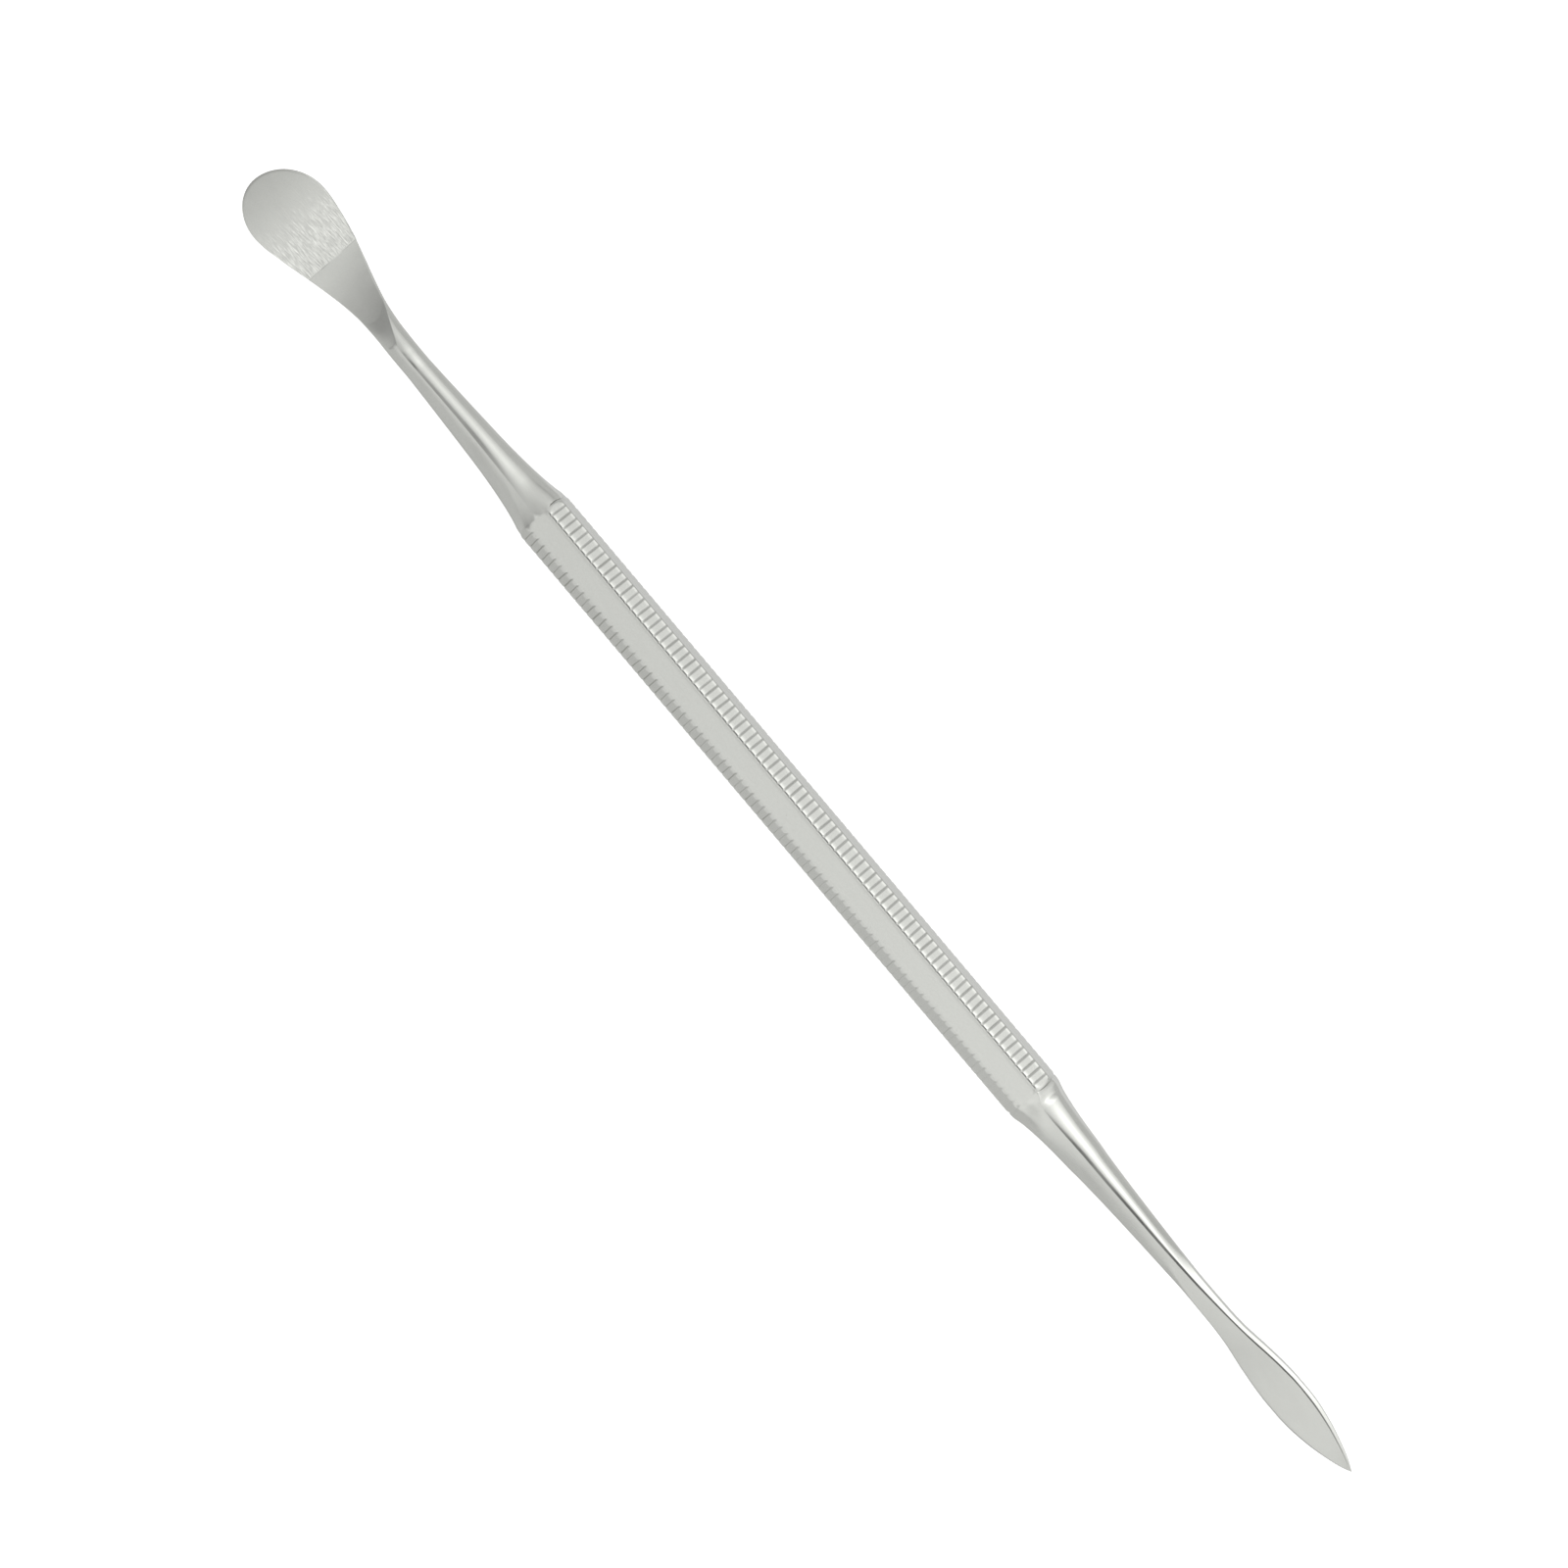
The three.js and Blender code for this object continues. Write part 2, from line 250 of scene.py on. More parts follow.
def seam_warp(x, y, z):
    """How far a point moves along x, because the grooves at the seams are bowed."""
    angle = np.degrees(np.arctan2(np.abs(y), np.abs(z)))
    across = np.clip((angle - 45) / 22.5, -1, 1)
    near = np.exp(-(((np.abs(x) - SEAM) / BOW_REACH) ** 2))
    return np.sign(x) * (BOW_MIDDLE - BOW_SPAN * across**2) * near


def handle_mesh():
    centre = np.arange(RIBS + 1) * PITCH - SEAM
    stations = [-SEAM, SEAM]
    for k, g in enumerate(centre):
        for step in GROOVE_STEPS:
            stations += [g - step, g + step]
        stations += [g, g + PITCH / 2]
    x = np.unique(np.round([s for s in stations if -SEAM <= s <= SEAM], 5))
    nearest = np.clip(np.round((x + SEAM) / PITCH).astype(int), 0, RIBS)
    flat_y = CORNER * FLAT_STEPS
    drop = FLAT_DROP * smoothstep(FLAT_STEPS, 0.93, 1.0) ** 1.5

    columns = []

    def facet(y_sign, z_sign, cut, fade):
        """A ribbed facet's y, z and shift along x, from the plain flat to the side flat."""
        depth = rng.uniform(*DEPTH_RANGE, centre.shape)
        offset = rng.normal(0, PLACE_SPREAD, centre.shape)
        slant = rng.normal(SLANT_MEAN, SLANT_SPREAD, centre.shape)
        cut_depth = np.clip(rng.normal(cut, CUT_SPREAD, centre.shape), 0, 1)
        offset[[0, -1]] = 0
        slant[[0, -1]] = 0
        distance = np.abs(x - centre[nearest])
        worn = 1 - fade * smoothstep(x, FADE_FROM, SEAM)
        rib = 1 - (1 - rib_factor(distance)) * cut_depth[nearest] * worn
        y, z = facet_points(rib, depth[nearest])
        along = np.clip(1 - distance / (PITCH / 2), 0, 1)
        across = 2 * FACET_STEPS - 1
        shift = along[:, None] * (offset[nearest][:, None] + slant[nearest][:, None] * across)
        return y * y_sign, z * z_sign, shift

    def add(y, z, shift=None):
        y = np.broadcast_to(y, (len(x), y.shape[-1]))
        z = np.broadcast_to(z, (len(x), z.shape[-1]))
        columns.append((y, z, np.zeros_like(y) if shift is None else shift))

    right_front = facet(1, 1, cut=0.42, fade=0.0)
    right_back = facet(1, -1, cut=0.7, fade=0.1)
    left_back = facet(-1, -1, cut=0.7, fade=0.1)
    left_front = facet(-1, 1, cut=0.62, fade=0.4)

    def reverse(f):
        return tuple(v[:, ::-1] for v in f)

    def side(start, end):
        """The side flat's points between two facets' last points."""
        share = np.array([0.03, 0.5, 0.97])
        y = np.full((len(x), len(share)), APOTHEM * np.sign(start[0][0, -1]))
        z = lerp(start[1][:, -1:], end[1][:, -1:], share[None, :])
        add(y, z)

    add(flat_y[:-1], APOTHEM - drop[:-1])
    add(*right_front)
    side(right_front, right_back)
    add(*reverse(right_back))
    inner = np.concatenate([flat_y[:-1][::-1], -flat_y[1:-1]])
    inner_drop = np.concatenate([drop[:-1][::-1], drop[1:-1]])
    add(inner, -(APOTHEM - inner_drop))
    add(*left_back)
    side(left_back, left_front)
    add(*reverse(left_front))
    add(-flat_y[1:-1][::-1], APOTHEM - drop[1:-1][::-1])

    y = np.concatenate([c[0] for c in columns], axis=1)
    z = np.concatenate([c[1] for c in columns], axis=1)
    shift = np.concatenate([c[2] for c in columns], axis=1)
    xs = np.broadcast_to(x[:, None], y.shape) + shift
    radius = np.hypot(y, z)
    inside = SEAM - np.abs(xs)
    limit = shoulder_radius(-inside)
    rounded = soft_min(radius, limit, FIT_ROUNDING) / radius
    scale = np.where(inside < SHOULDER_REACH, rounded, 1)
    y, z = y * scale, z * scale
    xs = xs + seam_warp(xs, y, z)
    return skin("ribbed_handle_steel", xs, y, z)


def handle_radius(angle, rib):
    """The handle's radius at an angle from +Z, for a rib factor."""
    ones = np.ones(1)
    y0, z0 = facet_points(ones, ones)
    y1, z1 = facet_points(0 * ones, ones)
    folded = np.degrees(np.arctan2(np.abs(np.sin(angle)), np.abs(np.cos(angle))))

    def polar(y, z):
        """The radius of a quarter section whose facet has these points, by angle."""
        flat = np.array([0, CORNER * 0.5])
        ys = np.concatenate([flat, y[0], [APOTHEM, APOTHEM]])
        zs = np.concatenate([flat * 0 + APOTHEM, z[0], [CORNER * 0.4, 0]])
        corners = np.arange(len(ys))
        samples = np.linspace(0, len(ys) - 1, 4000)
        dense_y = np.interp(samples, corners, ys)
        dense_z = np.interp(samples, corners, zs)
        dense_turn = np.degrees(np.arctan2(dense_y, dense_z))
        order = np.argsort(dense_turn)
        fine = np.linspace(0, 90, 721)
        r = np.interp(fine, dense_turn[order], np.hypot(dense_y, dense_z)[order])
        return np.interp(folded, fine, r)

    return lerp(polar(y1, z1), polar(y0, z0), rib)


# ---- Sections of the working ends ----

# Points across a flat quarter, a round quarter and a side wall.
FLAT_COUNT = 34
ROUND_COUNT = 60
EDGE_COUNT = 8

SIDE_TURN = math.radians(86)  # a round quarter's normal where it meets the side wall
BEVEL_FULL = 0.12  # past the foot, a bevel has reached its full slope
BEVEL_END = 0.9  # from here on, a bevel rolls over to the side wall
LEAST_WALL = 0.3  # the share of a side wall that a bevel leaves


def blend_round(start, control, end, t):
    """A quarter of an ellipse, from start to end, heading for control at first."""
    weight = math.sqrt(0.5)
    a, b, c = (1 - t) ** 2, 2 * weight * t * (1 - t), t**2
    return tuple((a * s + b * m + c * e) / (a + b + c) for s, m, e in zip(start, control, end))


def quarter(p, t):
    """The round quarter's path from the crease to the side wall, for a unit width and drop.

    Its normal holds still at p["turn"] along a foot beside the crease. Then it turns evenly to
    the side along a round shank, and along a bevelled stretch it holds still at p["bevel"].
    """
    start = np.radians(p["turn"])
    slope = np.radians(p["bevel"])
    even = lerp(start, SIDE_TURN, np.clip((t - p["foot"]) / (1 - p["foot"]), 0, 1))
    held = lerp(start, slope, smoothstep(t, p["foot"], p["foot"] + BEVEL_FULL))
    held = lerp(held, SIDE_TURN, smoothstep(t, BEVEL_END, 1.0))
    turn = lerp(even, held, p["cut"])
    mid = (turn[:, 1:] + turn[:, :-1]) / 2
    step = np.diff(t)
    y = np.cumsum(np.cos(mid) * step, axis=1)
    z = np.cumsum(np.sin(mid) * step, axis=1)
    zero = np.zeros((len(turn), 1))
    y, z = np.hstack([zero, y]), np.hstack([zero, z])
    return y / y[:, -1:], z / y[:, -1:]


def sections(p):
    """Grids of y and z from a dict of arrays, one value per station.

    Two opposite quarters are flat and two are round. width is the half-width, top and bottom
    the heights of the two creases, crease the upper crease's place across the tool, left and
    right the heights where the upper quarters meet the side walls. A flat quarter has two
    planes: low and high say how much steeper the outer one is and how much flatter the inner
    one is than a straight cut, and ridge how rounded their meeting is, from 0 to 0.9. flat is
    1 for those, and 0 for a rounded section instead. turn, foot, bevel and cut (0 for round,
    1 for bevelled) shape a round quarter, and edge is how far the side walls bulge.
    """
    a = {k: np.asarray(v, float)[:, None] for k, v in p.items()}
    t_round = clustered(ROUND_COUNT)[None, :]
    path_y, path_z = quarter(a, t_round)
    span = a["width"] - a["crease"]
    cut_right = a["top"] - span * path_z[:, -1:]
    right = lerp(a["right"], np.maximum(cut_right, a["right"] * LEAST_WALL), a["cut"])

    def round_quarter(sign, up):
        y = a["crease"] + span * path_y
        z = up - (up - right) * path_z / path_z[:, -1:]
        return sign * y[:, :-1], sign * z[:, :-1]

    def flat_quarter(sign, up):
        t = clustered(FLAT_COUNT)[None, :-1]
        reach = a["width"] + a["crease"]
        chord = (up - a["left"]) / reach
        outer = a["left"] + reach * t * (chord + a["low"])
        inner = up - reach * (1 - t) * (chord - a["high"])
        rounding = a["ridge"] * reach * np.minimum(a["low"], a["high"])
        flat_y = lerp(-a["width"], a["crease"], t)
        flat_z = soft_min(outer, inner, rounding)
        round_y, round_z = blend_round(
            (-a["width"], a["left"]), (-a["width"], up), (a["crease"], up), t)
        return sign * lerp(round_y, flat_y, a["flat"]), sign * lerp(round_z, flat_z, a["flat"])

    def wall(sign):
        t = clustered(EDGE_COUNT)[None, :-1]
        z = lerp(right, -a["left"], t)
        bulge = a["edge"] * np.sqrt(np.clip(1 - (2 * t - 1) ** 2, 0, 1))
        return sign * (a["width"] - a["edge"] + bulge), sign * z

    parts = [
        round_quarter(1, a["top"]),
        wall(1),
        flat_quarter(-1, a["bottom"]),
        round_quarter(-1, a["bottom"]),
        wall(-1),
        flat_quarter(1, a["top"]),
    ]
    y = np.concatenate([part[0] for part in parts], axis=1)
    z = np.concatenate([part[1] for part in parts], axis=1)
    return y, z


def fit_to_handle(x, y, z):
    """Trims a working end to the handle's section, with a groove at the seam."""
    from_seam = np.abs(x) - SEAM
    radius = np.hypot(y, z)
    limit = handle_radius(np.arctan2(y, z), rib_factor(np.maximum(from_seam, 0)))
    scale = soft_min(radius, limit, FIT_ROUNDING) / radius
    near = from_seam < FIT_REACH
    return np.where(near, y * scale, y), np.where(near, z * scale, z)


# ---- Spoon end ----

MEET = -60.8  # where the two ground passes meet
GROUND_END = -50.8  # the ground face has run out before here

# Each curve goes by x, and stands still beyond its ends. Width, crease, left, right, turn and
# foot are what sections() takes. The spoon's rise and depth are its top and bottom, counted
# from its bent axis, and ground_left is the ground face's height at the left edge.
spoon_width = curve(
    [(-66.17, 3.755), (-65.5, 3.73), (-64, 3.49), (-61, 2.81), (-60, 2.53), (-56, 1.57),
     (-55, 1.41), (-52, 1.22), (-49, 1.23), (-48, 1.27), (-43, 1.49), (-38, 1.76), (-34, 2.17),
     (-33, 2.35), (-32.5, 2.5)])
spoon_axis = curve(
    [(-60.8, -1.66), (-59.5, -1.6), (-58, -1.43), (-56, -1.04), (-54, -0.55), (-52, -0.19),
     (-50.5, -0.03), (-49.5, 0)])
# How steeply the ground face climbs across the tool at its root, which makes the tongue.
tongue_tilt = curve(
    [(-54.3, 0.0), (-53.75, 0.05), (-52.9, 0.15), (-52.4, 0.18), (-51.6, 0.19), (-51.48, 0.24),
     (-51.3, 0.8), (-51.15, 1.6), (-50.9, 2.6)])
TONGUE_BOW = 0.45  # how strongly the tongue's end is bowed
ground_left = curve(
    [(-60.8, -1.56), (-59.5, -1.5), (-58, -1.33), (-56.5, -1.05), (-54.5, -0.58),
     (-52, 0.04), (-50.9, 0.3)])
spoon_rise = curve(
    [(-66, 0.9), (-57, 0.9), (-54, 1.14), (-52, 1.2), (-50, 1.215)])
spoon_depth = curve(
    [(-70.28, 0.13), (-64, 0.4), (-61, 0.49), (-59, 0.6), (-57, 0.72), (-55, 0.9),
     (-53, 1.09), (-51, 1.19), (-50, 1.215)])
spoon_crease = curve([(-51.2, -0.006), (-42.3, 0.113), (-36, 0.05), (-33.1, -0.05)])
spoon_turn = curve(
    [(-52, 13), (-49.6, 12), (-46.2, 10.5), (-43.7, 9.5), (-41.2, 9), (-38.7, 10), (-36.1, 15),
     (-34.5, 20), (-33, 23)])
spoon_foot = curve(
    [(-52, 0.02), (-49.6, 0.05), (-46.2, 0.07), (-43.7, 0.085), (-41.2, 0.1), (-38.7, 0.06),
     (-36.5, 0.01), (-33, 0)])
spoon_left = curve(
    [(-54.5, 0.015), (-52.9, 0.09), (-52, 0.15), (-51, 0.13), (-47, 0.02), (-39.5, 0.02),
     (-36.5, 0.15), (-34.5, 0.36), (-33.5, 0.55), (-32.5, 0.76)])
DIP = -1.6  # the ground face's height where the two passes meet

# The two grinding wheels: radius, and slope of the ground face at MEET.
PADDLE_PASS = (24, math.radians(-6))
NECK_PASS = (26, math.radians(3.6))

RIM = 0.11  # the spoon's thickness above its widest line
LIP_WIDTH = 0.25  # a lip runs round the nose
LIP_RISE = 0.055
WIDEST = 3.755  # the spoon's greatest half-width
WIDEST_AT = -66.1  # from here to the tip the outline is half an ellipse


def ground_height(x, wheel):
    """The ground face's height under a grinding wheel of a given radius and slope at MEET."""
    radius, slope = wheel
    centre_x = MEET - radius * math.sin(slope)
    centre_z = DIP + radius * math.cos(slope)
    return centre_z - np.sqrt(np.maximum(radius**2 - (x - centre_x) ** 2, 0))


def spoon_mesh():
    nose = WIDEST_AT - SPOON_TIP
    turn = np.linspace(math.radians(2.5), math.pi / 2, 90)
    x = np.concatenate([
        WIDEST_AT - nose * np.cos(turn),
        np.linspace(WIDEST_AT, MEET - 0.02, 90)[1:],
        [MEET, MEET + 0.02],
        np.linspace(MEET + 0.02, -50.6, 180)[1:],
        np.linspace(-50.6, -36, 70)[1:],
        np.linspace(-36, -33, 45)[1:],
        -SEAM - np.array([0.42, 0.36, 0.3, 0.25, *GROOVE_STEPS[::-1], SEAM_GAP]),
    ])
    on_nose = np.clip((WIDEST_AT - x) / nose, 0, 1)
    width = np.where(x < WIDEST_AT, WIDEST * np.sqrt(1 - on_nose**2), spoon_width(x))
    on_neck = x > MEET
    axis = np.where(on_neck, spoon_axis(x), ground_height(x, PADDLE_PASS) - RIM)
    middle = ground_height(x, NECK_PASS)
    low_side = np.where(on_neck, ground_left(x), axis + RIM)
    tilt = np.where(on_neck, (middle - low_side) / width, 0)
    shank = spoon_width(x)
    blade = smoothstep(-x, 50, 54)
    from_seam = -SEAM - x
    ridge_share = 1 - smoothstep(from_seam, -0.5, 4.5)
    ones = np.ones_like(x)
    p = dict(
        width=width,
        top=np.where(x < -50, spoon_rise(x), shank),
        bottom=np.where(x < -50, spoon_depth(x), shank),
        crease=spoon_crease(x) * (1 - blade),
        left=spoon_left(x),
        right=lerp(0.015, 0.85, 1 - smoothstep(from_seam, -0.6, 3.2)),
        flat=1 - smoothstep(-x, 54, 59),
        low=lerp(0.12, 0.42, ridge_share),
        high=lerp(0.22, 0.32, ridge_share),
        ridge=lerp(0.9, 0.4, ridge_share),
        turn=lerp(spoon_turn(x), 4, blade),
        bevel=45 * ones,
        foot=spoon_foot(x),
        cut=0 * ones,
        edge=0 * ones,
    )
    y, z = sections(p)
    xs = np.broadcast_to(x[:, None], y.shape)
    z = z + axis[:, None]
    end_tilt = np.where(xs < -55, 0, tongue_tilt(xs + TONGUE_BOW * (y + 0.15) ** 2))
    ground = low_side[:, None] + (tilt[:, None] + end_tilt) * (y + width[:, None])
    from_outline = (1 - np.hypot((WIDEST_AT - xs) / nose, y / WIDEST)) * nose
    lip = np.clip(1 - from_outline / LIP_WIDTH, 0, 1) * smoothstep(WIDEST_AT - xs, 0.3, 2.2)
    ground = ground + LIP_RISE * lip**2
    rounding = lerp(0.03, 0.02, smoothstep(xs, -58, -54))
    z = np.where(xs < GROUND_END, soft_min(z, ground, rounding), z)
    y, z = fit_to_handle(xs, y, z)
    xs = xs + seam_warp(xs, y, z)
    return skin("spoon_pusher_steel", xs, y, z)


# ---- Lancet end ----

lancet_width = curve(
    [(32.5, 2.52), (34, 2.16), (37, 1.86), (39.5, 1.73), (40.5, 1.64), (51, 1.13), (54, 1.04),
     (57.5, 1.07), (59, 1.15), (62, 1.53), (64, 1.73), (65.5, 1.81), (67, 1.81), (68, 1.76),
     (70, 1.49), (73, 0.74), (74, 0.38), (74.7, 0.03)])
lancet_top = curve(
    [(32.5, 2.43), (33.5, 2.32), (34, 2.24), (37, 1.94), (40, 1.73), (43, 1.5), (47, 1.28),
     (50.5, 1.14), (60, 0.75), (65, 0.5), (72, 0.2), (74, 0.11), (74.7, 0.06)])
lancet_crease = curve(
    [(32.5, 1.0), (33, 0.78), (33.5, 0.5), (34, 0.36), (35.5, 0.31), (39, 0.31), (43, 0.26),
     (47.5, 0.27), (50, 0.29), (53, 0.35), (56.5, 0.54), (60, 0.83), (64, 1.29), (66, 1.41),
     (68, 1.34), (70, 1.11), (72, 0.72), (74.7, 0)])
lancet_left = curve(
    [(32.5, 0.99), (36, 0.45), (39.5, 0.14), (43, 0.06), (52, 0.05), (56, 0.1), (61, 0.13),
     (74.7, 0.01)])
lancet_right = curve(
    [(32.5, 0.99), (34, 0.8), (36, 0.6), (39.3, 0.38), (43, 0.18), (48, 0.06), (52, 0.08),
     (74.7, 0.02)])
lancet_turn = curve(
    [(32.5, 26), (34.1, 22), (35.5, 18), (37, 14), (39.3, 10.5), (43, 9.5), (74.7, 9.5)])
lancet_foot = curve(
    [(32.5, 0), (35.9, 0.01), (39.3, 0.05), (43, 0.08), (48, 0.13), (52, 0.18), (58, 0.22),
     (64, 0.24), (74.7, 0.24)])


def lancet_mesh():
    x = np.concatenate([
        SEAM + np.array([SEAM_GAP, *GROOVE_STEPS, 0.26, 0.34, 0.42]),
        np.linspace(33, 37, 90),
        np.linspace(37, 50, 90)[1:],
        np.linspace(50, LANCET_TIP - 0.6, 260)[1:],
        np.linspace(LANCET_TIP - 0.6, LANCET_TIP, 30)[1:],
    ])
    from_seam = x - SEAM
    seam_share = 1 - smoothstep(from_seam, 0.1, 1.6)
    blade_share = smoothstep(x, 50, 57)
    ridge_share = 1 - smoothstep(from_seam, 0.3, 3.6)
    ones = np.ones_like(x)
    p = dict(
        width=lancet_width(x),
        top=lancet_top(x),
        bottom=lancet_top(x),
        crease=lancet_crease(x),
        left=lancet_left(x),
        right=lancet_right(x),
        flat=ones,
        low=lerp(lerp(0.12, 0.42, ridge_share), 1.1, blade_share),
        high=lerp(lerp(0.12, 0.42, ridge_share), 0.05, blade_share),
        ridge=lerp(lerp(0.9, 0.4, ridge_share), 0.2, blade_share),
        turn=lancet_turn(x),
        bevel=lerp(33, 45, seam_share),
        foot=lancet_foot(x),
        cut=np.maximum(seam_share, smoothstep(x, 46, 54)),
        edge=0.02 * blade_share,
    )
    y, z = sections(p)
    xs = np.broadcast_to(x[:, None], y.shape)
    y, z = fit_to_handle(xs, y, z)
    xs = xs + seam_warp(xs, y, z)
    return skin("lancet_scraper_steel", xs, y, z)


# ---- Nodes ----


def node(tree, kind, inputs=None, **settings):
    """Adds a node. inputs are values or other nodes' outputs, by socket name or number."""
    made = tree.nodes.new(kind)
    for key, value in settings.items():
        setattr(made, key, value)
    for key, value in (inputs or {}).items():
        if isinstance(value, bpy.types.NodeSocket):
            tree.links.new(value, made.inputs[key])
        else:
            made.inputs[key].default_value = value
    return made


def calc(tree, operation, *values):
    inputs = dict(enumerate(values))
    return node(tree, "ShaderNodeMath", inputs, operation=operation).outputs[0]


def by_vector(tree, operation, a, b):
    return node(tree, "ShaderNodeVectorMath", {0: a, 1: b}, operation=operation)


def remap(tree, value, low, high, start=0.0, end=1.0, kind="SMOOTHSTEP"):
    """Goes from start to end as value goes from low to high, and stays there beyond."""
    inputs = {"Value": value, "From Min": low, "From Max": high, "To Min": start, "To Max": end}
    return node(tree, "ShaderNodeMapRange", inputs, interpolation_type=kind).outputs[0]


def ramp(tree, value, stops, top):
    """A grey ramp whose stops are (place, value), with values up to top."""
    made = node(tree, "ShaderNodeValToRGB", {0: value})
    made.color_ramp.interpolation = "LINEAR"
    elements = made.color_ramp.elements
    while len(elements) > 1:
        elements.remove(elements[-1])
    for i, (place, grey) in enumerate(stops):
        stop = elements[0] if i == 0 else elements.new(place)
        stop.position = place
        stop.color = (grey / top, grey / top, grey / top, 1)
    return calc(tree, "MULTIPLY", made.outputs[0], top)


# ---- Steel ----

STEEL = (0.617, 0.624, 0.592)
BUMP = 0.0012 * MM

# Grain sizes along x, y and z, in millimetres.
SATIN = (0.12, 0.09, 0.09)
GRAIN = (2.2, 0.05, 0.05)
CLOUD = (3.0, 1.5, 1.5)
STREAK = (0.8, 0.1, 1.0)
SPECK_CELL = 1 / 1.4
SPECKLED_CELLS = 0.55  # cells with a random value over this have a speck


def steel(name, rough, streaks=False, specks=0.0, painted_light_slope=0.0, about=0.0):
    """Satin steel whose colour carries painted light: lighter by the given slope (darker for a
    negative slope) for each millimetre along X from about, standing in for light that changes along
    the tool.

    streaks adds the spoon's grinding marks, and specks is how dark the small pits are.
    """
    material = bpy.data.materials.new(name)
    material.use_nodes = True
    tree = material.node_tree
    tree.nodes.clear()
    place = node(tree, "ShaderNodeTexCoord").outputs["Object"]

    def noise(scale, detail=2.0, roughness=0.5):
        """Noise with a grain of the given size."""
        scaled = by_vector(tree, "MULTIPLY", place, [1 / (size * MM) for size in scale])
        inputs = {
            "Vector": scaled.outputs[0], "Scale": 1.0, "Detail": detail, "Roughness": roughness}
        return node(tree, "ShaderNodeTexNoise", inputs).outputs[0]

    def varied(value, by, swing):
        """value, plus noise that swings this much about its middle."""
        return calc(tree, "MULTIPLY_ADD", by, swing, calc(tree, "SUBTRACT", value, swing / 2))

    satin = noise(SATIN)
    grain = noise(GRAIN)
    cloud = noise(CLOUD, detail=3.0)
    rough_value = varied(varied(rough, cloud, 0.1), grain, 0.06)
    height = calc(tree, "MULTIPLY_ADD", grain, 0.5, calc(tree, "MULTIPLY", satin, 0.5))
    shade = varied(varied(1.0, cloud, 0.1), satin, 0.12)
    x = calc(tree, "DIVIDE", node(tree, "ShaderNodeSeparateXYZ", {0: place}).outputs[0], MM)
    # Painted light: the colour grows lighter along X at the given slope, and is unchanged at about.
    shade = calc(tree, "MULTIPLY_ADD", x, painted_light_slope, calc(tree, "SUBTRACT", shade, about * painted_light_slope))
    if streaks:
        # The marks start raggedly on the paddle and stop short where the two passes meet.
        streak = noise(STREAK, detail=3.0, roughness=0.65)
        ragged = calc(tree, "MULTIPLY_ADD", streak, 5.0, x)
        inside = remap(tree, ragged, MEET - 3.8, MEET + 0.2)
        ended = remap(tree, x, MEET - 0.15, MEET + 0.05, 1.0, 0.0, "LINEAR")
        mask = calc(tree, "MULTIPLY", inside, ended)
        strength = calc(tree, "MULTIPLY_ADD", mask, 4.5, 0.5)
        height = calc(tree, "MULTIPLY_ADD", streak, strength, height)
        tone = calc(tree, "MULTIPLY", calc(tree, "SUBTRACT", streak, 0.5), mask)
        shade = calc(tree, "MULTIPLY_ADD", tone, 1.5, shade)
    if specks:
        scaled = by_vector(tree, "MULTIPLY", place, [1 / MM] * 3)
        inputs = {"Vector": scaled.outputs[0], "Scale": 1 / SPECK_CELL}
        cells = node(tree, "ShaderNodeTexVoronoi", inputs, feature="F1")
        spot = remap(tree, cells.outputs["Distance"], 0.03, 0.055, 1.0, 0.0, "LINEAR")
        random = node(tree, "ShaderNodeSeparateColor", {0: cells.outputs["Color"]}).outputs[0]
        chosen = calc(tree, "GREATER_THAN", random, SPECKLED_CELLS)
        spot = calc(tree, "MULTIPLY", spot, chosen)
        shade = calc(tree, "MULTIPLY", shade, calc(tree, "MULTIPLY_ADD", spot, -specks, 1.0))
    bump = node(tree, "ShaderNodeBump", {"Height": height, "Strength": 1.0, "Distance": BUMP})
    color = node(tree, "ShaderNodeVectorMath", {0: STEEL, "Scale": shade}, operation="SCALE")
    inputs = {
        "Base Color": color.outputs[0], "Metallic": 1.0, "Roughness": rough_value,
        "Normal": bump.outputs[0]}
    shader = node(tree, "ShaderNodeBsdfPrincipled", inputs)
    node(tree, "ShaderNodeOutputMaterial", {"Surface": shader.outputs[0]})
    return material


# ---- Light ----

VIEW_TILT = math.radians(13)
TO_CAMERA = Vector((0, math.sin(VIEW_TILT), math.cos(VIEW_TILT)))
ACROSS = Vector((0, math.cos(VIEW_TILT), -math.sin(VIEW_TILT)))
ALONG = Vector((1, 0, 0))

# The studio's brightness by direction, as (degrees, brightness). ROUND goes round the tool,
# from the camera towards its +Y side. LENGTHWISE goes from the camera towards the lancet, with
# a variant for light that comes from far round on the left and one for the right.
RAMP_TOP = 2.0
ROUND = [
    (-180, 0.86), (-150, 0.82), (-130, 0.76), (-116, 0.83), (-104, 0.91), (-90, 0.92), (-60, 0.9),
    (-42, 0.88), (-34, 0.96), (-26, 1.04), (-10, 1.04), (0, 0.97), (10, 1.0), (18, 1.12),
    (28, 1.22), (38, 1.27), (48, 1.25), (58, 1.15), (66, 1.05), (74, 0.84), (82, 0.76),
    (100, 0.7), (135, 0.8), (154, 0.86), (180, 0.86),
]
LENGTHWISE = [
    (-90, 0.5), (-60, 0.48), (-48, 0.46), (-44, 0.47), (-40, 0.49), (-36, 0.53), (-32, 0.6),
    (-28, 0.66), (-24, 0.72), (-21, 0.79), (-17, 0.86), (-13, 0.92), (-8, 0.94),
    (-2.5, 0.965), (0, 1.01), (3, 1.07), (8, 1.06), (12, 1.1), (17, 1.17), (20, 1.14),
    (24, 1.04), (28, 0.98), (32, 0.92), (36, 0.87), (40, 0.83), (44, 0.79), (48, 0.75),
    (52, 0.72), (60, 0.66), (70, 0.5), (90, 0.42),
]
